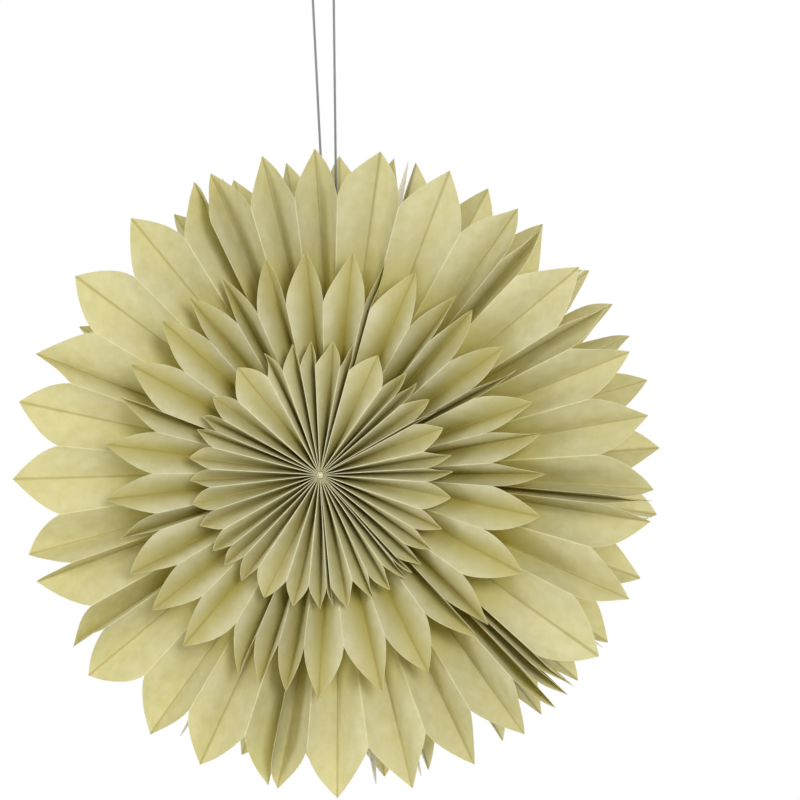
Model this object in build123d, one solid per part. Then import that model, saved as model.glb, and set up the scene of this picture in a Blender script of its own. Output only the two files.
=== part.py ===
from build123d import *
import math
import os

# A two-sided paper star that hangs on a looped cord.
# Seen from the front, a small, a medium and a large pleated rosette lie behind each other.
# The back repeats them in reverse. The front faces -Y, +Z is up, and the origin is the centre
# of the star, half way through its depth. Clock angles are in degrees clockwise from the top,
# seen from the front.

# Paper and folds
paper_thickness = 0.3
fold_flat_width = 0.4
hub_radius = 2.4
rosette_gap = 0.3

# Small rosettes
small_tip_radius = 102.0
small_notch_radius = 83.0
small_pleat_width = 16.5
small_lean_share = 0.15

# Medium rosettes
medium_tip_radius = 170.0
medium_notch_radius = 131.0
medium_pleat_width = 22.0
medium_lean_share = 0.14

# Large rosettes
large_tip_radius = 250.0
large_notch_radius = 211.0
large_pleat_width = 34.0
large_hub_pleat_width = 30.0
large_lean_share = 0.13

# A leaf's cut edge, from the notch to the tip: share of the facet's width, share of the rise
leaf_edge_shares = ((0.0, 0.0), (0.30, 0.38), (0.66, 0.72), (1.0, 1.0))
hub_flat_share = 0.6
least_depth_share = 0.3

# Leaves of each rosette: clock angle of the notch before the leaf, clock angle of its tip.
# Handmade pleats are uneven, and a few leaves are pinched almost shut.
full_circle_angle = 360
small_leaf_angles = (
    (-1, 6), (12, 14.5), (17, 27), (36.5, 40.5), (44.5, 46.5), (50, 55.5), (60.5, 61),
    (62, 69), (77, 81), (85.5, 88), (92.5, 99), (107, 113), (117.5, 123), (127, 131),
    (135, 136), (137, 139.5), (143, 148), (152, 156), (161, 168), (173, 174), (175, 180),
    (184.5, 191.5), (196.5, 204), (213, 217), (222.5, 227), (231, 235), (240.5, 247),
    (251.5, 257), (263.5, 267), (273, 277), (284.5, 289.5), (293, 295.5), (300, 305.5),
    (312.5, 323), (333, 335), (341.5, 348), (351, 356),
)
medium_leaf_angles = (
    (1, 8.5), (15, 16), (17, 25.5), (31.5, 37), (39.5, 42.5), (49, 55), (60.5, 61.5),
    (63.5, 71), (75.5, 79), (85.5, 89.5), (93, 100), (107.5, 115), (124, 131.5), (134, 136),
    (142, 151), (157.5, 163.5), (172, 180.5), (185.5, 190), (194, 197), (202, 203),
    (210, 219), (224.5, 231.5), (238, 242.5), (251, 252), (256.5, 263), (270, 277.5),
    (284, 290), (291, 299.5), (306.5, 313.5), (320, 322.5), (331, 332), (338.5, 345),
    (348.5, 356),
)
front_large_leaf_angles = (
    (3, 9.5), (16, 22.5), (30, 36), (40, 41), (44.5, 51), (58, 59), (63, 68), (74, 79.5),
    (85.5, 92.5), (93.5, 94.5), (95.5, 98), (104.5, 112), (115, 123), (129.5, 130.5),
    (131.5, 132.5), (133.5, 135.5), (136.5, 142.5), (147.5, 153), (158, 164.5), (170.5, 178),
    (183.5, 189.5), (190.5, 191.5), (197, 204), (210, 214.5), (222, 230), (235, 236),
    (240.5, 249.5), (250.5, 254.5), (261, 268.5), (275.5, 282.5), (289, 291.5), (301, 307.5),
    (315.5, 322), (329, 334.5), (335.5, 338), (344.5, 348), (354, 357.5),
)

# Leaf tips of the rear large rosette, with each notch half way between two tips
rear_large_tip_angles = (
    9, 13, 27, 39, 51, 58.5, 65, 73.5, 86, 98, 110, 123, 132, 141, 149.5, 157, 164.5, 173,
    186.5, 200.5, 211, 220, 229, 239, 249, 259, 268.5, 279, 288, 297, 307.5, 316, 325, 338,
    348.5, 358.5,
)

# Card leaves on edge between the two halves. Each lies in the plane of valley folds of both
# large rosettes, and a free one in the plane of a rear valley fold alone.
card_angles = (51, 98, 123, 164.5, 268.5, 307.5, 338)
free_card_angles = (13, 173, 211)
card_thickness = 0.8
card_width = 36.0
card_tip_radius = 249.0
card_shoulder_radius = 184.0
card_inner_radius = 20.0
card_free_radius = 60.0
card_seat_clearance = 0.15
card_bulge_radius = 126.0

# Centre tie through the tied ends of all the pleats
tie_radius = 1.5
tie_end_reach = 0.8

# Hanging cord: one length, knotted round the tie and looped over its hook
cord_diameter = 2.1
cord_clearance = 0.25
knot_radius = 3.2
knot_clearance = 0.05
strand_spacing = 2.4
loop_top_height = 378.0
loop_left_reach = 20.3
loop_right_reach = 3.2
bend_share = 0.45

FRONT = -1
REAR = 1


def star_point(radius, clock, depth):
    """Point at a distance from the star's axis, a clock angle and a depth along Y."""
    angle = math.radians(clock)
    return Vector(radius * math.sin(angle), depth, radius * math.cos(angle))


def between(low, high, share):
    return low + (high - low) * share


def clock_of_arc(arc, radius):
    """Clock angle that an arc length spans at a radius."""
    return math.degrees(arc / radius)


def notched_halfway(tips):
    """Leaves with each notch half way between two tips."""
    before = (tips[-1] - full_circle_angle, *tips[:-1])
    return tuple(((low + tip) / 2, tip) for low, tip in zip(before, tips))


def seen_from_behind(leaves):
    """The same leaves in the opposite order, for a rosette that faces the other way."""
    notches_after = [notch for notch, _ in leaves[1:]] + [leaves[0][0] + full_circle_angle]
    return tuple((full_circle_angle - notch, full_circle_angle - tip)
                 for notch, (_, tip) in zip(reversed(notches_after), reversed(leaves)))


class Rosette:
    """One sheet folded into leaves: mountain folds end in the notches, valley folds in the tips."""

    def __init__(self, tip_radius, notch_radius, pleat_width, hub_pleat_width, lean_share,
                 valley_height, leaves, facing):
        self.tip_radius = tip_radius
        self.notch_radius = notch_radius
        self.pleat_width = pleat_width
        self.lean_share = lean_share
        self.valley_height = valley_height
        self.hub_height = valley_height + hub_pleat_width
        self.facing = facing
        self.notches = [notch for notch, _ in leaves]
        self.notches.append(self.notches[0] + full_circle_angle)
        self.tips = [tip for _, tip in leaves]
        self.pitch = full_circle_angle / len(leaves)
        drift = [notch - self.pitch * leaf for leaf, (notch, _) in enumerate(leaves)]
        self.hub_start = sum(drift) / len(drift)

    def mountain_height(self, radius):
        """Distance of the mountain folds from the middle of the star."""
        return self.hub_height + self.lean_share * (radius - hub_radius)

    def tip_height(self, leaf):
        """A facet keeps its width, so a wide leaf is shallow and a narrow one is deep."""
        half_pitch = (self.notches[leaf + 1] - self.notches[leaf]) / 2
        half_chord = self.tip_radius * math.sin(math.radians(half_pitch))
        depth_squared = self.pleat_width ** 2 - half_chord ** 2
        least_depth = least_depth_share * self.pleat_width
        depth = math.sqrt(max(depth_squared, least_depth ** 2))
        return self.mountain_height(self.tip_radius) - depth

    def valley_height_at(self, leaf, radius):
        """Distance of a leaf's valley fold from the middle of the star."""
        share = (radius - hub_radius) / (self.tip_radius - hub_radius)
        return between(self.valley_height, self.tip_height(leaf), share)

    def leaf_nearest(self, clock):
        return min(range(len(self.tips)), key=lambda leaf: abs(self.tips[leaf] - clock))

    def hub_clock(self, half_pitches):
        return self.hub_start + half_pitches * self.pitch / 2

    def facet_edges(self, leaf, turn):
        """Points of a facet's outer and inner sides, along the hub and along the leaf's edge.

        turn is -1 for the facet before the valley fold and 1 for the facet after it.
        """
        notch = self.notches[leaf] if turn < 0 else self.notches[leaf + 1]
        hub_flat_width = hub_flat_share * math.radians(self.pitch) * hub_radius
        middle = 2 * leaf + 1
        hub = facet_ends(hub_radius, self.hub_clock(middle + turn), self.hub_clock(middle),
                         self.hub_height, self.valley_height, hub_flat_width * -turn,
                         (0, 1), self.facing)
        rim = {"outer": [], "inner": []}
        for across, rise in leaf_edge_shares:
            radius = between(self.notch_radius, self.tip_radius, rise)
            ends = facet_ends(radius, notch, self.tips[leaf], self.mountain_height(radius),
                              self.valley_height_at(leaf, radius), fold_flat_width * -turn,
                              (across,), self.facing)
            rim["outer"] += ends["outer"]
            rim["inner"] += ends["inner"]
        return hub, rim

    def solid(self):
        """The folded sheet as one solid, closed strip by strip."""
        faces = []
        facets = []
        for leaf in range(len(self.tips)):
            facets.append(self.facet_edges(leaf, -1))
            facets.append(self.facet_edges(leaf, 1))
        for hub, rim in facets:
            faces += facet_side(hub["outer"], rim["outer"])
            faces += facet_side(hub["inner"], rim["inner"])
            faces += ribbon(rim["outer"], rim["inner"])
            faces += ribbon(hub["outer"], hub["inner"])
        for place in range(0, len(facets), 2):
            before, after = facets[place], facets[place + 1]
            mountain_before = facets[place - 1]
            faces += fold_strip(mountain_before, before, "outer", "inner", 0)
            faces += fold_strip(before, after, "inner", "outer", -1)
        return Solid(Shell(faces))


def facet_ends(radius, mountain_clock, valley_clock, mountain, valley, flat, shares, facing):
    """Points of both sides of a facet at one radius, at shares of the way to its valley.

    The outer side starts beside the middle of the mountain fold's flat, and the inner side
    ends beside the middle of the valley fold's flat.
    """
    half_flat = clock_of_arc(flat / 2, radius)
    ends = {"outer": [], "inner": []}
    for share in shares:
        clock = between(mountain_clock + half_flat, valley_clock, share)
        height = between(mountain, valley + paper_thickness, share)
        ends["outer"].append(star_point(radius, clock, facing * height))
        clock = between(mountain_clock, valley_clock - half_flat, share)
        height = between(mountain - paper_thickness, valley, share)
        ends["inner"].append(star_point(radius, clock, facing * height))
    return ends


def triangle(first, second, third):
    return Face(Wire.make_polygon([first, second, third], close=True))


def facet_side(hub_row, rim_row):
    """Triangles between the hub's short edge and the leaf's longer cut edge."""
    turn = len(rim_row) // 2
    faces = [triangle(hub_row[0], start, end)
             for start, end in zip(rim_row[:turn], rim_row[1:turn + 1])]
    faces.append(triangle(hub_row[0], rim_row[turn], hub_row[-1]))
    faces += [triangle(hub_row[-1], start, end)
              for start, end in zip(rim_row[turn:], rim_row[turn + 1:])]
    return faces


def ribbon(one_side, other_side):
    """Narrow flat strips between two rows of points."""
    faces = []
    for place in range(len(one_side) - 1):
        start, end = one_side[place], one_side[place + 1]
        far_start, far_end = other_side[place], other_side[place + 1]
        faces.append(triangle(start, end, far_end))
        faces.append(triangle(start, far_end, far_start))
    return faces


def fold_strip(one_facet, other_facet, flat_side, sharp_side, end):
    """The pressed flat of one fold, with its two small ends."""
    one_hub, one_rim = one_facet
    other_hub, other_rim = other_facet
    flat_hub = one_hub[flat_side][end], other_hub[flat_side][end]
    flat_rim = one_rim[flat_side][end], other_rim[flat_side][end]
    faces = ribbon(flat_hub, flat_rim)
    faces.append(triangle(*flat_hub, one_hub[sharp_side][end]))
    faces.append(triangle(*flat_rim, one_rim[sharp_side][end]))
    return faces


def make_rosettes():
    """Large, medium and small rosettes of both halves, each seated on the one behind it."""
    large_valley = cord_diameter / 2 + cord_clearance
    medium_valley = large_valley + large_hub_pleat_width + rosette_gap
    small_valley = medium_valley + medium_pleat_width + rosette_gap
    halves = {
        "front": (FRONT, front_large_leaf_angles, medium_leaf_angles, small_leaf_angles),
        "rear": (REAR, notched_halfway(rear_large_tip_angles),
                 seen_from_behind(medium_leaf_angles), seen_from_behind(small_leaf_angles)),
    }
    rosettes = {}
    for half, (facing, large_leaves, medium_leaves, small_leaves) in halves.items():
        rosettes[half + "_large_rosette"] = Rosette(
            large_tip_radius, large_notch_radius, large_pleat_width, large_hub_pleat_width,
            large_lean_share, large_valley, large_leaves, facing)
        rosettes[half + "_medium_rosette"] = Rosette(
            medium_tip_radius, medium_notch_radius, medium_pleat_width, medium_pleat_width,
            medium_lean_share, medium_valley, medium_leaves, facing)
        rosettes[half + "_small_rosette"] = Rosette(
            small_tip_radius, small_notch_radius, small_pleat_width, small_pleat_width,
            small_lean_share, small_valley, small_leaves, facing)
    return rosettes


def card_edge(rosette, clock):
    """Height of a card's edge at a radius, just inside the valley fold of the nearest leaf."""
    leaf = rosette.leaf_nearest(clock)
    return lambda radius: rosette.valley_height_at(leaf, radius) - card_seat_clearance


def seated_radius(edge, height):
    """Radius at which a card's straight edge reaches a height."""
    inner = edge(card_inner_radius)
    rise_share = (edge(card_shoulder_radius) - inner) / (card_shoulder_radius - card_inner_radius)
    return card_inner_radius + (height - inner) / rise_share


def make_card(front_rosette, rear_rosette, clock, free):
    """A pointed card leaf on edge between the halves, drawn as radius and depth, then turned."""
    half_width = card_width / 2
    front_edge = card_edge(front_rosette, clock)
    rear_edge = card_edge(rear_rosette, clock)
    front_radius = card_free_radius if free else seated_radius(front_edge, half_width)
    front_inner = (card_inner_radius, -front_edge(card_inner_radius))
    front_corner = (front_radius, -half_width)
    front_shoulder = (card_shoulder_radius, -half_width)
    tip = (card_tip_radius, 0)
    rear_shoulder = (card_shoulder_radius, half_width)
    rear_corner = (seated_radius(rear_edge, half_width), half_width)
    rear_inner = (card_inner_radius, rear_edge(card_inner_radius))
    outline = Wire([
        *Polyline(rear_inner, front_inner, front_corner, front_shoulder).edges(),
        *RadiusArc(front_shoulder, tip, -card_bulge_radius).edges(),
        *RadiusArc(tip, rear_shoulder, -card_bulge_radius).edges(),
        *Polyline(rear_shoulder, rear_corner, rear_inner).edges(),
    ])
    card = extrude(Face(outline), amount=card_thickness / 2, dir=(0, 0, 1), both=True)
    return Rotation(0, clock - full_circle_angle / 4, 0) * card


def make_centre_tie(reach):
    """Thin cord through the tied ends, rounded off at both faces."""
    rod = Rotation(90, 0, 0) * Cylinder(tie_radius, 2 * reach)
    for end in (-reach, reach):
        rod += Pos(0, end, 0) * Sphere(tie_radius)
    return rod


def make_cord_knot():
    """Wound knot that holds both ends of the cord on the tie."""
    outer = Cylinder(knot_radius, cord_diameter)
    inner = Cylinder(tie_radius + knot_clearance, 2 * cord_diameter)
    return Rotation(90, 0, 0) * (outer - inner)


def make_hanging_cord():
    """Two straight strands from the knot, joined by a round turn over the hook."""
    route = [
        Vector(-strand_spacing / 2, 0, 0),
        Vector(-loop_left_reach, 0, loop_top_height),
        Vector(-loop_right_reach, 0, loop_top_height),
        Vector(strand_spacing / 2, 0, 0),
    ]
    top_run = (route[2] - route[1]).length
    radii = []
    for before, corner, after in zip(route, route[1:], route[2:]):
        turn = math.radians((corner - before).get_angle(after - corner))
        radii.append(bend_share * top_run / math.tan(turn / 2))
    path = FilletPolyline(*route, radius=radii)
    start = Plane(origin=route[0], z_dir=route[1] - route[0])
    section = start * Circle(cord_diameter / 2)
    cord = sweep(section, path=path)
    expected = math.pi * (cord_diameter / 2) ** 2 * path.length
    print("cord radii", [round(radius, 2) for radius in radii])
    print("cord length", round(path.length, 1), "tube volume over section by length",
          round(cord.volume / expected, 4))
    knot_space = Rotation(90, 0, 0) * Cylinder(knot_radius, 2 * cord_diameter)
    return cord - knot_space


def main():
    os.makedirs("parts", exist_ok=True)
    rosettes = make_rosettes()
    shapes = {name: rosette.solid() for name, rosette in rosettes.items()}
    front, rear = rosettes["front_large_rosette"], rosettes["rear_large_rosette"]
    for number, clock in enumerate(sorted(card_angles + free_card_angles), start=1):
        card = make_card(front, rear, clock, clock in free_card_angles)
        shapes[f"card_leaf_{number:02d}"] = card
    tie_reach = rosettes["front_small_rosette"].hub_height + tie_end_reach - tie_radius
    shapes["centre_tie"] = make_centre_tie(tie_reach)
    shapes["cord_knot"] = make_cord_knot()
    shapes["hanging_cord"] = make_hanging_cord()
    for name, shape in shapes.items():
        export_step(shape, f"parts/{name}.step")
        print(name, "valid", shape.is_valid, "volume", round(shape.volume, 1))


main()
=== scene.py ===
# %% [markdown]
# # A hanging paper star
#
# The star is made of folded paper: three pleated rosettes on each face, stiff cards on edge
# between the two halves, and one looped cord to hang it by. The model in the frame already has
# every fold at its real place, so this lesson never measures anything twice. It reads the folds
# from the frame, lays finer sheets over them, and then works on paper, thread and light.

# %% Load the frame
import math

import bpy
import numpy as np
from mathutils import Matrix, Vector


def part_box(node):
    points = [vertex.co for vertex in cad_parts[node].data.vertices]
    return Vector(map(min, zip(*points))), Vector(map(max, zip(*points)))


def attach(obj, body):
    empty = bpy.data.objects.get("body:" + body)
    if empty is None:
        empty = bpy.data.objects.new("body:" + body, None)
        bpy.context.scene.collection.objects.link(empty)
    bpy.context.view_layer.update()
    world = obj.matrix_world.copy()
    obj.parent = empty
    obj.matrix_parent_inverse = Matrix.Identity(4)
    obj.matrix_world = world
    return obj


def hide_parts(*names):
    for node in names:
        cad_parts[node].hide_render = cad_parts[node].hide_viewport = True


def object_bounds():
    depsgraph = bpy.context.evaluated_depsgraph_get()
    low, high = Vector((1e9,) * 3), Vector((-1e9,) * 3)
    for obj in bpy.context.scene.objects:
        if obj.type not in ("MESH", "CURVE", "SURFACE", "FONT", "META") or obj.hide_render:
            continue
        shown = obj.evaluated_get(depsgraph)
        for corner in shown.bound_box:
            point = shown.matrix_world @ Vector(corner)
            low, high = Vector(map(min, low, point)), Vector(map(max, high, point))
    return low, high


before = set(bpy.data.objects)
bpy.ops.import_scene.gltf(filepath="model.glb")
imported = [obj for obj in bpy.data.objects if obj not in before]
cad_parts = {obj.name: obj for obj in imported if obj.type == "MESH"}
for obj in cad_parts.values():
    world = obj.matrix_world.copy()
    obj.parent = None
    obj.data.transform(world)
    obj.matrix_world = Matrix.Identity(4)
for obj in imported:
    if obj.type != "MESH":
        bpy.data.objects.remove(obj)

cad_low, cad_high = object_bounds()
print("frame box", [round(v, 4) for v in (*cad_low, *cad_high)])

MM = 0.001
FULL_CIRCLE = 360
FULL_TURN = 2 * math.pi
TINY = 1e-12

# %% [markdown]
# ## Camera
#
# The photograph looks at the star from a little to the right and slightly above, with a long
# lens: the petals at the rim are hardly larger than those at the middle. A camera that looks at
# a point beside the star puts it off centre in the picture without any lens shift.

# %% Camera
CAMERA_AZIMUTH = 11.0
CAMERA_ELEVATION = 3.0
CAMERA_DISTANCE = 1.9
PICTURE_WIDTH = 0.630
AIM_RIGHT = 0.0489
AIM_UP = 0.0553
SENSOR_WIDTH = 36.0


def direction_from(azimuth, elevation):
    """Unit vector from the star towards a viewer."""
    a, e = math.radians(azimuth), math.radians(elevation)
    return Vector((math.sin(a) * math.cos(e), -math.cos(a) * math.cos(e), math.sin(e)))


def make_camera():
    back = direction_from(CAMERA_AZIMUTH, CAMERA_ELEVATION)
    right = Vector((0, 0, 1)).cross(back).normalized()
    up = back.cross(right)
    target = right * AIM_RIGHT + up * AIM_UP
    lens = bpy.data.cameras.new("camera")
    lens.sensor_width = SENSOR_WIDTH
    lens.lens = SENSOR_WIDTH * CAMERA_DISTANCE / PICTURE_WIDTH
    camera = bpy.data.objects.new("camera", lens)
    camera.location = back * CAMERA_DISTANCE
    camera.rotation_mode = "QUATERNION"
    camera.rotation_quaternion = (camera.location - target).to_track_quat("Z", "Y")
    bpy.context.scene.collection.objects.link(camera)
    bpy.context.scene.camera = camera
    print("camera lens", round(lens.lens, 1), "mm, at", [round(v, 3) for v in camera.location])


make_camera()

# %% [markdown]
# ## Meshes from arrays
#
# Everything here is made of grids of points. Arrays work them out faster than a loop over a
# mesh's own vertices, and one helper turns them into an object, with named values on the
# vertices that the materials can read later.

# %% Mesh helper
def make_object(name, points, faces, marks=None):
    """New smooth-shaded mesh object; marks are named values, one for each point."""
    mesh = bpy.data.meshes.new(name)
    mesh.from_pydata(points.tolist(), [], faces)
    mesh.polygons.foreach_set("use_smooth", [True] * len(mesh.polygons))
    for mark, values in (marks or {}).items():
        layer = mesh.attributes.new(mark, "FLOAT", "POINT")
        layer.data.foreach_set("value", np.asarray(values, dtype=np.float32).ravel())
    mesh.update()
    thing = bpy.data.objects.new(name, mesh)
    bpy.context.scene.collection.objects.link(thing)
    return thing


# %% [markdown]
# ## The hanging cord
#
# The cord is one length. Both ends are knotted on the tie in the middle of the star, and the
# bend at the top goes over a hook, so the star's weight pulls the two strands straight. A
# polyline would have sharp corners at the hook. A NURBS curve with a point close to each bend
# keeps the strands straight and the bend round, and its points can be read back from it.

# %% Cord route
CORD_DIAMETER = 2.1 * MM
CORD_ROUTE = (
    (-1.2, 0.0, 0.0), (-19.69, 0.0, 366.0), (-20.3, 0.0, 378.0),
    (-3.2, 0.0, 378.0), (-3.14, 0.0, 366.0), (1.2, 0.0, 0.0),
)
CURVE_ORDER = 3
CURVE_RESOLUTION = 24


def route_line(name, route):
    """Points along the smooth curve that a route's control points give."""
    curve = bpy.data.curves.new(name, "CURVE")
    curve.dimensions = "3D"
    curve.resolution_u = CURVE_RESOLUTION
    spline = curve.splines.new("NURBS")
    spline.points.add(len(route) - 1)
    for point, place in zip(spline.points, route):
        point.co = (*(value * MM for value in place), 1)
    spline.order_u = CURVE_ORDER
    spline.use_endpoint_u = True
    helper = bpy.data.objects.new(name, curve)
    bpy.context.scene.collection.objects.link(helper)
    bpy.context.view_layer.update()
    graph = bpy.context.evaluated_depsgraph_get()
    line = bpy.data.meshes.new_from_object(helper.evaluated_get(graph))
    points = np.array([vertex.co[:] for vertex in line.vertices])
    bpy.data.objects.remove(helper)
    bpy.data.meshes.remove(line)
    return points


cord_line = route_line("cord_line", CORD_ROUTE)
print("cord line has", len(cord_line), "points")

# %% [markdown]
# ## Laid strands
#
# The real cord is laid from three thin strands. A picture of twisted thread on a plain tube
# would look flat at its edges, so three small tubes wind round each other along the curve. Each
# needs two directions square to the line at every point, and those are carried along from one
# point to the next, because a fresh choice at each point would twist the tube.

# %% Even spacing and side directions
def length_along(line):
    steps = np.linalg.norm(np.diff(line, axis=0), axis=1)
    return np.concatenate([[0.0], np.cumsum(steps)])


def evenly(line, spacing):
    """The same line with points at an even spacing."""
    along = length_along(line)
    places = np.linspace(0, along[-1], max(2, round(along[-1] / spacing)) + 1)
    return np.stack([np.interp(places, along, line[:, axis]) for axis in range(3)], axis=1)


def side_directions(line, start_side):
    """Two directions square to the line at each point, carried along without twisting."""
    tangents = np.gradient(line, axis=0)
    tangents /= np.linalg.norm(tangents, axis=1)[:, None]
    side = np.array(start_side, dtype=float)
    sides = []
    for tangent in tangents:
        side = side - tangent * side.dot(tangent)
        side /= np.linalg.norm(side)
        sides.append(side)
    sides = np.array(sides)
    return sides, np.cross(tangents, sides)


print("cord line is", round(float(length_along(cord_line)[-1]) / MM, 1), "mm long")

# %% Tubes that wind round a line
STEPS_PER_LAY = 10
THINNEST_END = 0.04
STRAND_SIDES = 8
THREAD_SIDES = 10


def tube_faces(rings, around, first):
    """Quads between rings of points, with a flat cap at each end."""
    faces = []
    for ring in range(rings - 1):
        low, high = first + ring * around, first + (ring + 1) * around
        for place in range(around):
            following = (place + 1) % around
            faces.append((low + place, low + following, high + following, high + place))
    faces.append(tuple(first + place for place in reversed(range(around))))
    faces.append(tuple(first + (rings - 1) * around + place for place in range(around)))
    return faces


def end_swell(along, ends):
    """Share of the full thickness at each point of a cord whose ends round off."""
    if not ends:
        return np.ones_like(along)
    from_end = np.minimum(along, along[-1] - along)
    near = np.clip(from_end / ends, 0, 1)
    return np.sqrt(np.clip(1 - (1 - near) ** 2, THINNEST_END, 1))


def laid_strands(name, line, diameter, strands, lay, start_side, around=STRAND_SIDES, ends=0.0):
    """A cord of small strands wound round each other along a line.

    lay is the length of one full turn, and ends the length over which the ends round off.
    """
    line = evenly(line, lay / STEPS_PER_LAY)
    along = length_along(line)
    sides, seconds = side_directions(line, start_side)
    strand_radius = diameter / 2 * (1 / (1 + 1 / math.sin(math.pi / strands)))
    swell = end_swell(along, ends)
    turn = np.linspace(0, FULL_TURN, around, endpoint=False)
    ring = (np.cos(turn)[None, :, None] * sides[:, None, :]
            + np.sin(turn)[None, :, None] * seconds[:, None, :])
    points, faces = [], []
    for strand in range(strands):
        angle = FULL_TURN * (strand / strands + along / lay)
        outwards = sides * np.cos(angle)[:, None] + seconds * np.sin(angle)[:, None]
        radius = (diameter / 2 - strand_radius) * swell
        centres = line + outwards * radius[:, None]
        tube = centres[:, None, :] + ring * strand_radius * swell[:, None, None]
        faces += tube_faces(len(line), around, len(points) * len(line) * around)
        points.append(tube.reshape(-1, 3))
    return make_object(name, np.concatenate(points), faces)


# %% [markdown]
# The knot holds the first and last few millimetres of the cord. That stretch is left out of the
# line, so that the strands start where the knot ends. The piece is then hung on its body, and the
# frame's own cord is hidden.

# %% Make the hanging cord
KNOT_RADIUS = 3.2 * MM
CORD_STRANDS = 3
CORD_LAY = 6.0 * MM
FINE_STEP = 0.1 * MM


def outside_knot(line):
    """Leaves out the first and last stretch, which the knot holds."""
    fine = evenly(line, FINE_STEP)
    return fine[np.hypot(fine[:, 0], fine[:, 2]) > KNOT_RADIUS]


free_cord_line = outside_knot(cord_line)
hanging_cord = laid_strands("hanging_cord_strands", free_cord_line, CORD_DIAMETER, CORD_STRANDS,
                            CORD_LAY, (0, 1, 0))
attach(hanging_cord, "root")
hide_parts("hanging_cord")

# %% [markdown]
# ## Reading the folds from the frame
#
# A pleated rosette is ruled by its folds. Mountain folds, towards the viewer, end in the notches
# of the cut edge, and valley folds end in the tips. In the frame's mesh every fold has its ends
# at known distances from the axis, so sorting the vertices by that distance finds the hub, the
# notches and the tips. That way a fold that moves in the frame moves here as well.

# %% Distance, clock angle and depth
def polar(points):
    """Distance from the star's axis, clock angle in degrees and depth of each point."""
    radius = np.hypot(points[:, 0], points[:, 2])
    clock = np.degrees(np.arctan2(points[:, 0], points[:, 2])) % FULL_CIRCLE
    return radius, clock, points[:, 1]


def from_polar(radius, clock, depth):
    angle = np.radians(clock)
    return np.stack([radius * np.sin(angle), depth + 0 * angle, radius * np.cos(angle)], axis=-1)


print("one metre out at three o'clock is", from_polar(1.0, np.array([90.0]), 0.0).round(3).tolist())

# %% Find hub, notches and tips
HUB_REACH = 4.0 * MM
SAME_RING = 0.25 * MM
SAME_FOLD_DEGREES = 0.7


def group_clock(clock, depth):
    """Mean clock angle and depth of each bunch of points that belong to one fold."""
    order = np.argsort(clock)
    clock, depth = clock[order], depth[order]
    breaks = np.flatnonzero(np.diff(clock) > SAME_FOLD_DEGREES) + 1
    clocks = [part.mean() for part in np.split(clock, breaks)]
    depths = [part.mean() for part in np.split(depth, breaks)]
    if clocks[0] + FULL_CIRCLE - clocks[-1] < SAME_FOLD_DEGREES:
        raise ValueError("a fold lies on the twelve o'clock line")
    return np.array(clocks), np.array(depths)


def read_rosette(node):
    """Sizes and fold ends of one rosette in the frame; heights are away from the star's middle."""
    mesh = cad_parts[node].data
    points = np.array([vertex.co[:] for vertex in mesh.vertices])
    radius, clock, depth = polar(points)
    facing = 1 if depth.mean() > 0 else -1
    height = depth * facing
    hub = radius < HUB_REACH
    rim = ~hub
    tip_radius, notch_radius = radius[rim].max(), radius[rim].min()
    at_tip = radius > tip_radius - SAME_RING
    tips, tip_heights = group_clock(clock[at_tip], height[at_tip])
    at_notch = rim & (radius < notch_radius + SAME_RING)
    notches, notch_heights = group_clock(clock[at_notch], height[at_notch])
    if notches[0] > tips[0]:
        notches = np.concatenate([[notches[-1] - FULL_CIRCLE], notches[:-1]])
        notch_heights = np.roll(notch_heights, 1)
    return {
        "facing": facing, "hub_radius": radius[hub].mean(),
        "hub_height": height[hub].max(), "valley_height": height[hub].min(),
        "tip_radius": tip_radius, "notch_radius": notch_radius,
        "tips": tips, "tip_heights": tip_heights,
        "notches": notches, "notch_heights": notch_heights,
    }


ROSETTES = [half + size for half in ("front_", "rear_") for size in ("small", "medium", "large")]
folds = {name: read_rosette(name + "_rosette") for name in ROSETTES}
for name, found in folds.items():
    print(name, len(found["tips"]), "tips at", round(found["tip_radius"] / MM, 1), "mm,",
          len(found["notches"]), "notches at", round(found["notch_radius"] / MM, 1), "mm")

# %% [markdown]
# ## Facets of folded paper
#
# A facet lies between a mountain fold and a valley fold. It is a ruled surface: straight lines
# run from the hub to points along the leaf's cut edge, which rises in a curve from the notch to
# the tip. A grid of straight lines is lighter than a subdivided mesh and can't ripple. The
# lines are closer together beside both folds, where the light changes fast.

# %% The two ends of a facet
FOLD_REACH = 0.55 * MM
RIDGE_DROP = 0.2 * MM
CREASE_REACH = 1.8 * MM
CREASE_MOST_SHARE = 0.07
ACROSS = (0.0, 0.10, 0.22, 0.36, 0.50, 0.64, 0.78, 0.90, 1.0)


def facet_columns(width):
    """Shares of the way across a facet, from its mountain fold to its valley fold."""
    near_top, near_fold = RIDGE_DROP / width, FOLD_REACH / width
    near_crease = 1 - min(CREASE_REACH / width, CREASE_MOST_SHARE)
    return np.array([ACROSS[0], near_top, near_fold, *ACROSS[1:-1], near_crease, ACROSS[-1]])


def hub_line(found, leaf, following, across):
    """Points of a facet's short side, where all the pleats are evenly spaced."""
    count = len(found["tips"])
    pitch = FULL_CIRCLE / count
    hub_start = np.mean(found["notches"] - pitch * np.arange(count))
    clock = hub_start + pitch * (following + (leaf + 0.5 - following) * across)
    height = found["hub_height"] + (found["valley_height"] - found["hub_height"]) * across
    return from_polar(found["hub_radius"], clock, found["facing"] * height)


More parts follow.
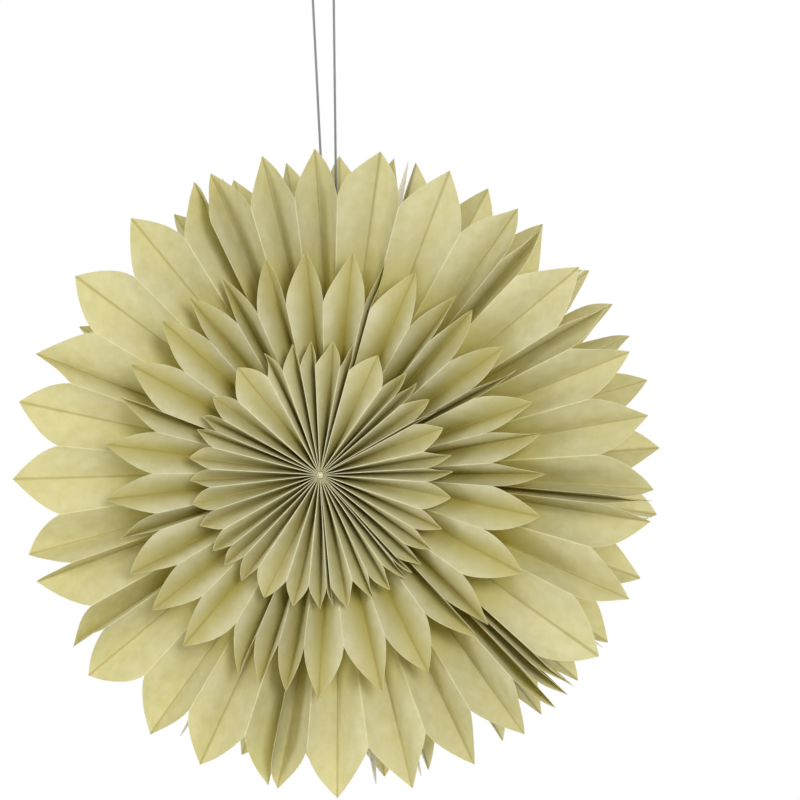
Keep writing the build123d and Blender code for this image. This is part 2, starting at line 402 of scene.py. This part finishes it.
def cut_line(found, leaf, following, across, roundness):
    """Points of a facet's cut edge, from the notch out to the leaf's tip."""
    count = len(found["tips"])
    notch = found["notches"][following % count] + FULL_CIRCLE * (following // count)
    notch_height = found["notch_heights"][following % count]
    lean = (notch_height - found["hub_height"]) / (found["notch_radius"] - found["hub_radius"])
    leaf_length = found["tip_radius"] - found["notch_radius"]
    radius = found["notch_radius"] + leaf_length * across ** roundness
    clock = notch + (found["tips"][leaf] - notch) * across
    mountain = found["hub_height"] + lean * (radius - found["hub_radius"])
    valley_rise = ((found["tip_heights"][leaf] - found["valley_height"])
                   / (found["tip_radius"] - found["hub_radius"]))
    valley = found["valley_height"] + valley_rise * (radius - found["hub_radius"])
    height = mountain + (valley - mountain) * across
    return from_polar(radius, clock, found["facing"] * height)


widths = {name: found["hub_height"] - found["valley_height"] for name, found in folds.items()}
print("pleats are", {name: round(width / MM, 1) for name, width in widths.items()}, "mm wide")

# %% [markdown]
# A mountain fold is pressed flat by the maker's thumb, so it is a narrow ridge, which the finish
# paints pale with a painted highlight. The facet is moved back from the fold by half the width of
# that ridge. The last row of points but one lies right beside the cut, so that the pale cut edge
# stays thin.

# %% Facet grid
RIDGE_REACH = 0.28 * MM
RIDGE_ROOM_SHARE = 0.5
ROWS_ALONG = 18
ROW_GROWTH = 1.25
CUT_REACH = 0.6 * MM


def widen_ridge(grid, across):
    """Moves a facet away from its mountain fold by half the width of the pressed ridge."""
    around = grid[-1] - grid[0]
    around[:, 1] = 0
    room = np.linalg.norm(around, axis=1)
    reach = np.minimum(RIDGE_REACH, room * RIDGE_ROOM_SHARE)
    shift = np.outer(1 - across, reach / room)
    shift[0] = 0
    return grid + around[None] * shift[:, :, None]


def row_places(found):
    """Shares of the way from hub to rim, a little closer at the hub, with one beside the cut."""
    rows = np.linspace(0, 1, ROWS_ALONG + 1) ** ROW_GROWTH
    return np.array([*rows[:-1], 1 - CUT_REACH / found["tip_radius"], 1.0])


def facet_grid(found, leaf, side, rows, roundness):
    """Middle surface of one facet, from its mountain fold to its valley fold.

    side is -1 for the facet before the valley fold and 1 for the one after it.
    """
    across = facet_columns(found["hub_height"] - found["valley_height"])
    following = leaf + (side > 0)
    hub = hub_line(found, leaf, following, across)
    rim = cut_line(found, leaf, following, across, roundness)
    grid = hub[:, None] + (rim - hub)[:, None] * rows[None, :, None]
    return widen_ridge(grid, across), across


print("a facet of the largest rosette has",
      len(facet_columns(widths["front_large"])), "by", len(row_places(folds["front_large"])),
      "points")

# %% [markdown]
# ## Handmade unevenness
#
# Real paper isn't flat between its folds. Each facet bows a little, by an amount from a seeded
# draw, so that the same sheet comes out on every run. The bow is nothing at the folds and the
# hub, and grows towards the cut edge. A leaf's tip also bends a little to the front or the back,
# and no two leaves are cut quite alike.

# %% Bowed facets and bent tips
BOW_SHARE = 0.035
BOW_SHARE_SPREAD = 0.035
BOW_GROWTH = 1.3
RIM_WAVE_SHARE = 0.02
RIM_WAVE_GROWTH = 3
FEWEST_WAVES, MOST_WAVES = 1.0, 2.2
TIP_BEND_GROWTH = 4


def unit_normals(over, out):
    """Unit normals of a grid, from its steps over the sheet and out from the hub."""
    normal = np.cross(over, out)
    return normal / np.maximum(np.linalg.norm(normal, axis=2), TINY)[:, :, None]


def bow_facet(grid, across, rows, draw, width):
    """Moves the middle of a facet along its normal, most near the leaf's widest part."""
    normal = unit_normals(np.gradient(grid, axis=0), np.gradient(grid, axis=1))
    bow = draw.normal(BOW_SHARE, BOW_SHARE_SPREAD) * width
    wave_phase, waves = draw.uniform(0, FULL_TURN), draw.uniform(FEWEST_WAVES, MOST_WAVES)
    profile = np.sin(math.pi * across)[:, None] * (rows ** BOW_GROWTH)[None, :]
    ripple = np.sin(FULL_TURN * across)[:, None] * (rows ** RIM_WAVE_GROWTH)[None, :]
    ripple = ripple * np.sin(wave_phase + waves * math.pi * rows)[None, :]
    return grid + normal * (bow * profile + RIM_WAVE_SHARE * width * ripple)[:, :, None]


def bend_tip(grid, across, rows, bend):
    """Bends a leaf's tip along the star's axis and leaves its notches where they are."""
    grid[..., 1] += bend * across[:, None] * (rows ** TIP_BEND_GROWTH)[None, :]
    return grid


print("facets bow by about", {name: round(BOW_SHARE * width / MM, 1)
                              for name, width in widths.items()}, "mm")

# %% [markdown]
# The facets of all leaves are joined to one grid that runs round the whole clock. Each fold is
# then softened to a small round, but in depth alone: a fold that moved sideways too would blunt
# the tips and fill the notches. The same pass notes which columns are folds, for the finish.

# %% One sheet from all its facets
LEAF_ROUNDNESS = 0.8
ROUNDNESS_SPREAD = 0.07
TIP_BEND_SHARE = 0.07
# share of the painted ridge highlight on the column beside each mountain fold
RIDGE_HIGHLIGHT_BESIDE_FOLD = 0.85
FOLD_WEIGHT = 2


def soften_folds(grid, is_fold):
    """Moves each fold in depth, to the mean of itself and the columns beside it."""
    depth = grid[..., 1]
    softened = np.roll(depth, 1, axis=0) + np.roll(depth, -1, axis=0) + FOLD_WEIGHT * depth
    softened = softened / (FOLD_WEIGHT + 2)
    grid[is_fold, :, 1] = softened[is_fold]


def sheet_grid(found, seed):
    """Middle surface of a whole rosette and its fold marks, column by column round the clock."""
    draw = np.random.default_rng(seed)
    rows = row_places(found)
    width = found["hub_height"] - found["valley_height"]
    columns, mountain_marks, valley_marks, over_marks = [], [], [], []
    for leaf in range(len(found["tips"])):
        bend = draw.normal(0, TIP_BEND_SHARE) * width
        facets = []
        for side in (-1, 1):
            roundness = draw.normal(LEAF_ROUNDNESS, ROUNDNESS_SPREAD)
            grid, across = facet_grid(found, leaf, side, rows, roundness)
            grid = bow_facet(grid, across, rows, draw, width)
            facets.append(bend_tip(grid, across, rows, bend))
        before, after = facets
        columns += [*before, *after[::-1][1:-1]]
        # 1 marks the mountain fold; it and the column beside it carry the painted ridge highlight
        mountain = [1.0, RIDGE_HIGHLIGHT_BESIDE_FOLD] + [0.0] * (len(across) - 2)
        valley = [0.0] * (len(across) - 1) + [1.0]
        mountain_marks += mountain + mountain[::-1][1:-1]
        valley_marks += valley + valley[::-1][1:-1]
        over_marks += [*across, *across[::-1][1:-1]]
    grid = np.array(columns)
    mountain_marks, valley_marks = np.array(mountain_marks), np.array(valley_marks)
    soften_folds(grid, (mountain_marks == 1) | (valley_marks == 1))
    return grid, mountain_marks, valley_marks, np.array(over_marks)


# %% [markdown]
# ## Marks for the finish
#
# Some of the light and shade on the paper is painted into its colour, by where a point lies and
# not by a pattern. A painted highlight makes ridges pale, most near the hub, except at the hub
# itself, where they merge. Painted shade makes the paper deeper and more yellow in a narrow
# pleat, where light would have bounced about, and under the next smaller rosette. Values on the
# mesh say how much of each there is, and the finish reads them. Only the side that faces out has
# a rosette over it.

# %% Painted ridge highlight, pleat shade and under shade marks
# painted ridge highlight: where it shows and how faint it gets
RIDGE_SHOWS_FROM = 14.0 * MM
RIDGE_PLAIN_FROM = 60.0 * MM
RIDGE_FAINTEST = 0.45
RIDGE_FAINTEST_AT_HUB = 0.2
# painted pleat shade, scaled by rosette size
PLEAT_SHADE_BY_SIZE = {"small": 1.0, "medium": 1.3, "large": 0.38}
NEXT_SMALLER = {"large": "medium", "medium": "small"}
# painted shade under the next smaller rosette: where it begins and how far it fades
UNDER_BEYOND = 10.0 * MM
UNDER_FADE = 40.0 * MM


def ridge_highlight_strength(radius):
    """How strong the painted ridge highlight is: most near the hub, less where ridges merge and
    further out.
    """
    out = np.clip(RIDGE_PLAIN_FROM / radius, RIDGE_FAINTEST, 1)
    return np.clip(radius / RIDGE_SHOWS_FROM, RIDGE_FAINTEST_AT_HUB, 1) * out


def pleat_shade_of(name, found, radius, over):
    """Painted shade of a pleat: how deep in its pleat a point lies, against how wide the pleat is
    open there.
    """
    opening = radius * math.pi / len(found["tips"])
    depth = over[:, None] * (found["hub_height"] - found["valley_height"])
    return np.arctan(depth / opening) / (math.pi / 2) * PLEAT_SHADE_BY_SIZE[name.split("_")[1]]


def shade_under_next(name, radius):
    """Painted shade under the next smaller rosette: how far in under it a point lies, from 0 in the
    open to 1.
    """
    half, size = name.split("_")
    if size not in NEXT_SMALLER:
        return 0 * radius
    edge = folds[half + "_" + NEXT_SMALLER[size]]["tip_radius"] + UNDER_BEYOND
    return np.clip((edge - radius) / UNDER_FADE, 0, 1)


def sheet_marks(name, found, grid, first_side_is_outer):
    """Named values for the points of one side of a sheet and then of the other."""
    points, mountain, valley, over = grid
    radius = np.hypot(points[..., 0], points[..., 2])
    rows = radius.shape[1]
    cut_edge = np.zeros(radius.shape)
    cut_edge[:, -1] = 1.0
    # Painted pleat shade for each side.
    pleat_shades = [pleat_shade_of(name, found, radius, over), pleat_shade_of(name, found, radius, 1 - over)]
    # Painted shade under the next rosette, on the outer side only.
    under_shades = [shade_under_next(name, radius), 0 * radius]
    if not first_side_is_outer:
        pleat_shades.reverse()
        under_shades.reverse()
    return {
        # mountain: painted ridge highlight, strongest near the hub
        "mountain": np.tile((mountain[:, None] * ridge_highlight_strength(radius)).ravel(), 2),
        # valley: where the painted crease shade goes
        "valley": np.tile(np.repeat(valley, rows), 2),
        "cut_edge": np.tile(cut_edge.ravel(), 2),
        # painted shade deep in the pleats
        "pocket": np.array(pleat_shades).ravel(),
        # under: painted shade under the next rosette
        "under": np.array(under_shades).ravel(),
    }


# %% [markdown]
# ## Thickness
#
# The grid is the middle of the sheet. Its thickness comes last, by moving the points out and in
# along their normals and closing the two strips between the sides. A modifier could do that as
# well, but it can't thin the paper at the hub, where the pleats are pressed together and there
# is less room than the full thickness needs. The sheet is held inside the frame's own box.

# %% Thickness and closing the sheet
PAPER_THICKNESS = 0.26 * MM
THICKNESS_SHARE_AT_HUB = 0.30


def sheet_normals(grid):
    """Normals of a grid whose last column meets its first."""
    over = np.roll(grid, -1, axis=0) - np.roll(grid, 1, axis=0)
    return unit_normals(over, np.gradient(grid, axis=1))


def sheet_points(found, grid, normal):
    """Points of both sides of the sheet, one side after the other."""
    radius = np.hypot(grid[..., 0], grid[..., 2])
    room = radius * math.pi / len(found["tips"]) * THICKNESS_SHARE_AT_HUB
    half_thickness = np.minimum(PAPER_THICKNESS, room)[..., None] / 2
    one_side = (grid + normal * half_thickness).reshape(-1, 3)
    other_side = (grid - normal * half_thickness).reshape(-1, 3)
    points = np.concatenate([one_side, other_side])
    return np.clip(points, np.array(cad_low), np.array(cad_high))


def sheet_faces(columns, rows):
    """Quads of both sides, and of the strips that close the cut edge and the hub."""
    index = np.arange(columns * rows).reshape(columns, rows)
    after = np.roll(index, -1, axis=0)
    other = columns * rows
    corners = [index[:, :-1], after[:, :-1], after[:, 1:], index[:, 1:]]
    one_side = np.stack(corners, axis=-1).reshape(-1, 4)
    other_side = one_side[:, ::-1] + other
    corners = [index[:, -1], after[:, -1], after[:, -1] + other, index[:, -1] + other]
    rim = np.stack(corners, axis=-1)
    corners = [after[:, 0], index[:, 0], index[:, 0] + other, after[:, 0] + other]
    hub = np.stack(corners, axis=-1)
    return np.concatenate([one_side, other_side, rim, hub]).tolist()


# %% Make the six sheets
FIRST_SEED = 11


def make_sheet(name, seed):
    """Closed thin solid of one rosette's sheet, with marks on its folds and cut edge."""
    found = folds[name]
    grid = sheet_grid(found, seed)
    normal = sheet_normals(grid[0])
    first_side_is_outer = (normal[..., 1] * found["facing"]).mean() >= 0
    marks = sheet_marks(name, found, grid, first_side_is_outer)
    points = sheet_points(found, grid[0], normal)
    return make_object(name + "_sheet", points, sheet_faces(*grid[0].shape[:2]), marks)


sheets = {}
for seed, name in enumerate(folds, start=FIRST_SEED):
    sheet = make_sheet(name, seed)
    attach(sheet, "root")
    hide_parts(name + "_rosette")
    sheets[name] = sheet
    print(sheet.name, len(sheet.data.polygons), "faces")

# %% [markdown]
# ## Tie and knot
#
# All the pleats are drawn together on one thin cream thread. Only its ends show, as a small
# pale bead in the middle of each face. The thread takes one turn round its own end there, which
# fills the hole in the smallest rosette. The hanging cord is wound round the thread at
# mid-depth. Both are laid strands again, along a straight line and along nearly full circles.

# %% Tie
TIE_STRANDS = 3
TIE_LAY = 4.0 * MM


def make_tie():
    low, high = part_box("centre_tie")
    reach = high[1]
    line = np.array([[0, -reach, 0], [0, reach, 0]])
    diameter = high[0] - low[0]
    tie = laid_strands("centre_tie_thread", line, diameter, TIE_STRANDS, TIE_LAY, (1, 0, 0),
                       around=THREAD_SIDES, ends=diameter / 2)
    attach(tie, "root")
    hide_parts("centre_tie")
    return tie


tie = make_tie()
_, tie_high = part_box("centre_tie")
tie_radius, tie_reach = tie_high[0], tie_high[1]
print("tie radius", round(tie_radius / MM, 2), "mm, reach", round(tie_reach / MM, 2), "mm")

# %% Turns of thread and knot
TURN_SHARE = 0.98
TURN_POINTS = 60
TURN_STRANDS = 2
TIE_CLEARANCE = 0.05 * MM
KNOT_POINTS = 90
KNOT_STRANDS = 3
KNOT_LAY = 5.0 * MM


def ring_line(radius, depth, points):
    """Nearly a full circle round the star's axis."""
    turn = np.linspace(0, FULL_TURN * TURN_SHARE, points)
    return np.stack([radius * np.sin(turn), depth + 0 * turn, radius * np.cos(turn)], axis=1)


def make_tie_turn(half):
    """One turn of the thread round its own end."""
    found = folds[half + "_small"]
    wound = found["hub_radius"] - tie_radius - 2 * TIE_CLEARANCE
    middle = tie_radius + TIE_CLEARANCE + wound / 2
    line = ring_line(middle, found["facing"] * (tie_reach - wound), TURN_POINTS)
    ring = laid_strands("centre_tie_turn_" + half, line, wound, TURN_STRANDS, TIE_LAY, (0, 1, 0))
    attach(ring, "root")
    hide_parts("centre_tie")
    return ring


def make_knot():
    """The cord wound round the tie, as wide as the ring between the tie and the knot's edge."""
    _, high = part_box("cord_knot")
    outer = high[0]
    wound = outer - tie_radius
    line = ring_line((outer + tie_radius) / 2, 0, KNOT_POINTS)
    knot = laid_strands("cord_knot_turns", line, wound, KNOT_STRANDS, KNOT_LAY, (0, 1, 0),
                        around=THREAD_SIDES)
    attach(knot, "root")
    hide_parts("cord_knot")
    print("knot of cord wound", round(wound / MM, 2), "mm wide")
    return knot


tie_turns = [make_tie_turn(half) for half in ("front", "rear")]
knot = make_knot()

# %% [markdown]
# ## Shader maths in plain Python
#
# Materials are networks of nodes. Writing them as expressions keeps them readable: this small
# class stands for one socket, and adding, subtracting or multiplying it adds the Math node that
# does so. Every other node comes from one method of a second class, which holds the network.

# %% Socket expressions
class Value:
    """One output socket of a network of nodes, usable in sums."""

    def __init__(self, finish, socket):
        self.finish = finish
        self.socket = socket

    def _math(self, operation, first, second):
        return self.finish.node("ShaderNodeMath", {"operation": operation}, [first, second])[0]

    def __add__(self, other):
        return self._math("ADD", self, other)

    def __mul__(self, other):
        return self._math("MULTIPLY", self, other)

    def __sub__(self, other):
        return self._math("SUBTRACT", self, other)

    def __rsub__(self, other):
        return self._math("SUBTRACT", other, self)

    __radd__ = __add__
    __rmul__ = __mul__


# %% Networks of nodes
MIX_SHARE, MIX_FIRST, MIX_SECOND, MIX_COLOUR = 0, 6, 7, 2
ATTRIBUTE_NUMBER = 2
OBJECT_PLACES = 3


class Finish:
    """A network of nodes under construction, of a material or of the room."""

    def __init__(self, owner):
        self.owner = owner
        owner.use_nodes = True
        self.tree = owner.node_tree
        self.tree.nodes.clear()

    def node(self, kind, settings=None, values=()):
        """Adds a node: settings first, then values or links by socket name or place."""
        made = self.tree.nodes.new(kind)
        for name, value in (settings or {}).items():
            if name == "stops":
                self._set_stops(made.color_ramp, value)
            else:
                setattr(made, name, value)
        pairs = values.items() if isinstance(values, dict) else enumerate(values)
        for place, value in pairs:
            socket = made.inputs[place]
            if isinstance(value, Value):
                self.tree.links.new(value.socket, socket)
            else:
                socket.default_value = value
        return [Value(self, socket) for socket in made.outputs]

    @staticmethod
    def _set_stops(ramp, stops):
        while len(ramp.elements) < len(stops):
            ramp.elements.new(1.0)
        for element, (place, colour) in zip(ramp.elements, stops):
            element.position = place
            element.color = colour

    def blend(self, share, first, second):
        """Colour between two colours."""
        values = {MIX_SHARE: share, MIX_FIRST: first, MIX_SECOND: second}
        return self.node("ShaderNodeMix", {"data_type": "RGBA"}, values)[MIX_COLOUR]

    def noise(self, places, scale, detail, rough):
        """Soft noise from 0 to 1; scale is its blots in a metre."""
        values = {"Vector": places, "Scale": scale, "Detail": detail, "Roughness": rough}
        return self.node("ShaderNodeTexNoise", {"noise_dimensions": "3D"}, values)[0]

    def mark(self, name):
        """A value that the mesh carries on its points."""
        return self.node("ShaderNodeAttribute", {"attribute_name": name})[ATTRIBUTE_NUMBER]

    def places(self):
        """Where each point lies on the object, in metres."""
        return self.node("ShaderNodeTexCoord")[OBJECT_PLACES]

    def bump(self, strength, distance, height):
        """Normals of a surface that rises and falls with a value."""
        values = {"Strength": strength, "Distance": distance, "Height": height}
        return self.node("ShaderNodeBump", None, values)[0]

    def surface(self, shader):
        """Ends a material's network and returns the material."""
        self.node("ShaderNodeOutputMaterial", None, {"Surface": shader})
        return self.owner


def new_finish(name):
    return Finish(bpy.data.materials.new(name))


def linear(red, green, blue):
    """Colour as a shader wants it, from red, green and blue on the usual scale of 0 to 255."""
    return (*(((v / 255 + 0.055) / 1.055) ** 2.4 if v > 10 else v / 255 / 12.92
              for v in (red, green, blue)), 1.0)


print("mid grey is", round(linear(128, 128, 128)[0], 3), "to a shader")

# %% [markdown]
# ## Paper
#
# The paper is a pale olive, dyed through, with a dry satin surface. Large clouds and small blots
# mottle it. Painted shade deepens it in the pleats and under the next rosette and darkens the
# creases of the valley folds. Ridges carry a painted highlight, broken up by uneven wear where a
# fold has been pressed, and the paper is paler where a blade cut it. An image could hold all
# that, but expressions need no unwrapping and stay sharp.

# %% Paper colours
PAPER_GREEN = linear(228, 225, 192)
PAPER_SHADE = linear(207, 203, 155)
# pale colour for the painted ridge highlight, the cut edges and the fibres
PAPER_PALE = linear(246, 242, 208)
# painted shade: deeper colour of the valley creases
PAPER_CREASE_SHADE = linear(150, 136, 70)
# painted shade deep in the pleats
PAPER_PLEAT_SHADE = linear(152, 138, 6)
# painted shade under the next rosette, deeper and more yellow
PAPER_UNDER_SHADE = linear(230, 220, 122)

CLOUD_SCALE, CLOUD_SHARE = 14.0, 0.6
BLOT_SCALE, BLOT_CONTRAST = 110.0, 1.8
MEAN_NOISE = 0.5
MOTTLE_BASE = 0.2
FIBRE_SCALE, FIBRE_SHARE = 1400.0, 0.10
WORN_SCALE = 300.0
# share of the painted shade under the next rosette
UNDER_SHADE_SHARE = 0.8
# share of the painted crease shade
CREASE_SHADE_SHARE = 0.7
# painted ridge highlight, and the share of it broken up by wear
RIDGE_HIGHLIGHT_SHARE, RIDGE_WORN_SHARE = 0.25, 0.6
CUT_SHARE = 0.5


def paper_colour(paper, places, fibres):
    clouds = paper.noise(places, CLOUD_SCALE, 3.0, 0.55)
    blots = paper.noise(places, BLOT_SCALE, 5.0, 0.62)
    worn = paper.noise(places, WORN_SCALE, 2.0, 0.5)
    # Painted shade: how deep in a pleat a point lies.
    pocket = paper.mark("pocket")
    mottle = clouds * CLOUD_SHARE + (blots - MEAN_NOISE) * BLOT_CONTRAST + MOTTLE_BASE
    # Painted highlight on the mountain ridges, partly broken up by uneven fold wear.
    ridge = paper.mark("mountain") * (worn * RIDGE_WORN_SHARE + RIDGE_HIGHLIGHT_SHARE)
    colour = paper.blend(mottle, PAPER_GREEN, PAPER_SHADE)
    # Painted shade under the next smaller rosette, deeper and more yellow.
    colour = paper.blend(paper.mark("under") * UNDER_SHADE_SHARE, colour, PAPER_UNDER_SHADE)
    # Painted shade deepens and yellows the paper in narrow pleats.
    colour = paper.blend(pocket * pocket, colour, PAPER_PLEAT_SHADE)
    # Painted shade darkens the valley creases.
    colour = paper.blend(paper.mark("valley") * CREASE_SHADE_SHARE, colour, PAPER_CREASE_SHADE)
    # The ridges get their painted highlight here.
    colour = paper.blend(ridge, colour, PAPER_PALE)
    colour = paper.blend(paper.mark("cut_edge") * CUT_SHARE, colour, PAPER_PALE)
    return paper.blend(fibres * FIBRE_SHARE, colour, PAPER_PALE)


# %% [markdown]
# Thin paper lets some light through, so a share of translucency warms the facets that are lit
# from behind. A low bump of soft cockles breaks up the light on each facet, as on paper that has
# been handled, and fine fibres change how rough it is.

# %% Paper finish
PAPER_THROUGH = linear(226, 217, 70)
PAPER_TRANSLUCENCY = 0.40
COCKLE_SCALE, COCKLE_HEIGHT = 60.0, 3.0
FIBRE_HEIGHT = 0.05
PAPER_BUMP, PAPER_BUMP_DISTANCE = 0.3, 1.0 * MM
PAPER_ROUGHNESS, FIBRE_ROUGHNESS = 0.52, 0.14
PAPER_SPECULAR = 0.12


def make_paper():
    paper = new_finish("olive_paper")
    places = paper.places()
    fibres = paper.noise(places, FIBRE_SCALE, 3.0, 0.6)
    cockles = paper.noise(places, COCKLE_SCALE, 2.0, 0.5)
    height = cockles * COCKLE_HEIGHT + fibres * FIBRE_HEIGHT
    body = paper.node("ShaderNodeBsdfPrincipled", None, {
        "Base Color": paper_colour(paper, places, fibres),
        "Roughness": fibres * FIBRE_ROUGHNESS + PAPER_ROUGHNESS,
        "Specular IOR Level": PAPER_SPECULAR,
        "Normal": paper.bump(PAPER_BUMP, PAPER_BUMP_DISTANCE, height),
    })[0]
    through = paper.node("ShaderNodeBsdfTranslucent", None, {"Color": PAPER_THROUGH})[0]
    mixed = paper.node("ShaderNodeMixShader", None, [PAPER_TRANSLUCENCY, body, through])[0]
    return paper.surface(mixed)


paper_material = make_paper()
for sheet in sheets.values():
    sheet.data.materials.append(paper_material)
print("paper on", len(sheets), "sheets")

# %% [markdown]
# ## Card
#
# The cards between the halves are thick recycled board: off-white, with a few dark flecks. They
# keep the frame's own flat shape and only get a finish. The flecks are the peaks of a noise, cut
# off by a steep ramp, which gives few and well-spaced spots.

# %% Card finish
CARD_WHITE = linear(228, 224, 208)
CARD_GREY = linear(210, 205, 188)
CARD_FLECK = linear(120, 112, 96)
PULP_SCALE = 60.0
GRAIN_SCALE = 900.0
SPOT_SCALE, SPOT_SHARE = 210.0, 0.6
SPOT_STOPS = [(0.66, (0, 0, 0, 1)), (0.70, (1, 1, 1, 1))]
CARD_BUMP, CARD_BUMP_DISTANCE = 0.3, 0.08 * MM
CARD_ROUGHNESS, GRAIN_ROUGHNESS = 0.72, 0.1
CARD_SPECULAR = 0.25


def make_card():
    card = new_finish("flecked_card")
    places = card.places()
    pulp = card.noise(places, PULP_SCALE, 4.0, 0.6)
    grain = card.noise(places, GRAIN_SCALE, 2.0, 0.5)
    spots = card.noise(places, SPOT_SCALE, 1.0, 0.4)
    fleck = card.node("ShaderNodeValToRGB", {"stops": SPOT_STOPS}, {"Fac": spots})[0]
    colour = card.blend(pulp, CARD_WHITE, CARD_GREY)
    colour = card.blend(fleck * SPOT_SHARE, colour, CARD_FLECK)
    body = card.node("ShaderNodeBsdfPrincipled", None, {
        "Base Color": colour,
        "Roughness": grain * GRAIN_ROUGHNESS + CARD_ROUGHNESS,
        "Specular IOR Level": CARD_SPECULAR,
        "Normal": card.bump(CARD_BUMP, CARD_BUMP_DISTANCE, grain),
    })[0]
    return card.surface(body)


card_material = make_card()
card_nodes = [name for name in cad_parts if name.startswith("card_leaf")]
for name in card_nodes:
    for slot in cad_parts[name].material_slots:
        slot.material = card_material
print("card on", len(card_nodes), "leaves")

# %% [markdown]
# ## Thread
#
# The hanging cord is grey and the tie is cream. Both are spun from fine fibres, which show as
# streaks and as small uneven patches. The strands are real tubes, so the finish only has to be
# soft and a little fuzzy, and one function serves both colours.

# %% Thread finishes
FLUFF_SCALE, FLUFF_SHARE = 2600.0, 0.7
PATCH_SCALE, PATCH_SHARE = 350.0, 0.3
THREAD_BUMP, THREAD_BUMP_DISTANCE = 0.4, 0.06 * MM
THREAD_ROUGHNESS = 0.6
THREAD_SPECULAR = 0.4


def make_thread(name, light, dark):
    thread = new_finish(name)
    places = thread.places()
    fluff = thread.noise(places, FLUFF_SCALE, 3.0, 0.6)
    patches = thread.noise(places, PATCH_SCALE, 2.0, 0.5)
    colour = thread.blend(fluff * FLUFF_SHARE + patches * PATCH_SHARE, light, dark)
    body = thread.node("ShaderNodeBsdfPrincipled", None, {
        "Base Color": colour,
        "Roughness": THREAD_ROUGHNESS,
        "Specular IOR Level": THREAD_SPECULAR,
        "Normal": thread.bump(THREAD_BUMP, THREAD_BUMP_DISTANCE, fluff),
    })[0]
    return thread.surface(body)


cord_material = make_thread("grey_cord", linear(158, 160, 158), linear(98, 100, 100))
tie_material = make_thread("cream_thread", linear(240, 234, 200), linear(214, 206, 164))
for piece in (hanging_cord, knot):
    piece.data.materials.append(cord_material)
for piece in (tie, *tie_turns):
    piece.data.materials.append(tie_material)
print("thread finishes", cord_material.name, "and", tie_material.name)

# %% [markdown]
# ## Light
#
# The star hangs in even studio light. The main soft lamp is a little above and to the right of
# the camera, a weaker one fills the shadows from the left, and two more, from behind and from
# the side, light the paper through and keep the edges of the pleats from going dark. Large disks
# give shadows with soft edges, as a window or a photographer's screen does.

# %% Lamps
LAMP_SIZE = 0.75
LAMPS = (
    # name, azimuth, elevation, distance, power
    ("key_lamp", 28, 14, 1.9, 22.5),
    ("fill_lamp", -45, 0, 2.0, 14.0),
    ("back_lamp", -145, -8, 2.0, 24.0),
    ("side_lamp", 105, 6, 2.0, 9.0),
)


def make_lamp(name, azimuth, elevation, distance, power):
    lamp = bpy.data.lights.new(name, "AREA")
    lamp.shape = "DISK"
    lamp.size = LAMP_SIZE
    lamp.energy = power
    holder = bpy.data.objects.new(name, lamp)
    towards = direction_from(azimuth, elevation)
    holder.location = towards * distance
    holder.rotation_mode = "QUATERNION"
    holder.rotation_quaternion = towards.to_track_quat("Z", "Y")
    bpy.context.scene.collection.objects.link(holder)
    print(name, "at", [round(v, 2) for v in holder.location], power, "W")


# %% [markdown]
# ## Room
#
# The room is pale all round, and white where the camera sees it. Making the lamps stronger would
# also whiten the background, but would bleach the paper. So the world has two strengths, and
# the kind of ray chooses between them. Nothing here is metal or glass, so only the camera's own
# rays need the white. The floor lies well below the star.

# %% Room
WHITE = (1, 1, 1, 1)
ROOM_LIGHT = 0.55
SEEN_LIGHT = 1.0
FLOOR_HEIGHT = -0.85
FLOOR_REACH = 1.4
FLOOR_CORNERS = 64
FLOOR_PALE = linear(236, 236, 234)
FLOOR_ROUGHNESS = 0.8


def make_world():
    world = bpy.data.worlds.new("room")
    bpy.context.scene.world = world
    room = Finish(world)
    is_camera_ray = room.node("ShaderNodeLightPath")[0]
    light = room.node("ShaderNodeBackground", None, {"Color": WHITE, "Strength": ROOM_LIGHT})[0]
    seen = room.node("ShaderNodeBackground", None, {"Color": WHITE, "Strength": SEEN_LIGHT})[0]
    mixed = room.node("ShaderNodeMixShader", None, [is_camera_ray, light, seen])[0]
    room.node("ShaderNodeOutputWorld", None, {"Surface": mixed})


def make_floor():
    turn = np.linspace(0, FULL_TURN, FLOOR_CORNERS, endpoint=False)
    points = np.stack([FLOOR_REACH * np.cos(turn), FLOOR_REACH * np.sin(turn),
                       FLOOR_HEIGHT + 0 * turn], axis=1)
    floor = make_object("floor", points, [tuple(range(len(points)))])
    pale = new_finish("pale_floor")
    body = pale.node("ShaderNodeBsdfPrincipled", None, {
        "Base Color": FLOOR_PALE, "Roughness": FLOOR_ROUGHNESS,
    })[0]
    floor.data.materials.append(pale.surface(body))


make_world()
for lamp in LAMPS:
    make_lamp(*lamp)
make_floor()
bpy.context.scene.view_settings.view_transform = "Standard"
print("floor at", FLOOR_HEIGHT, "m")
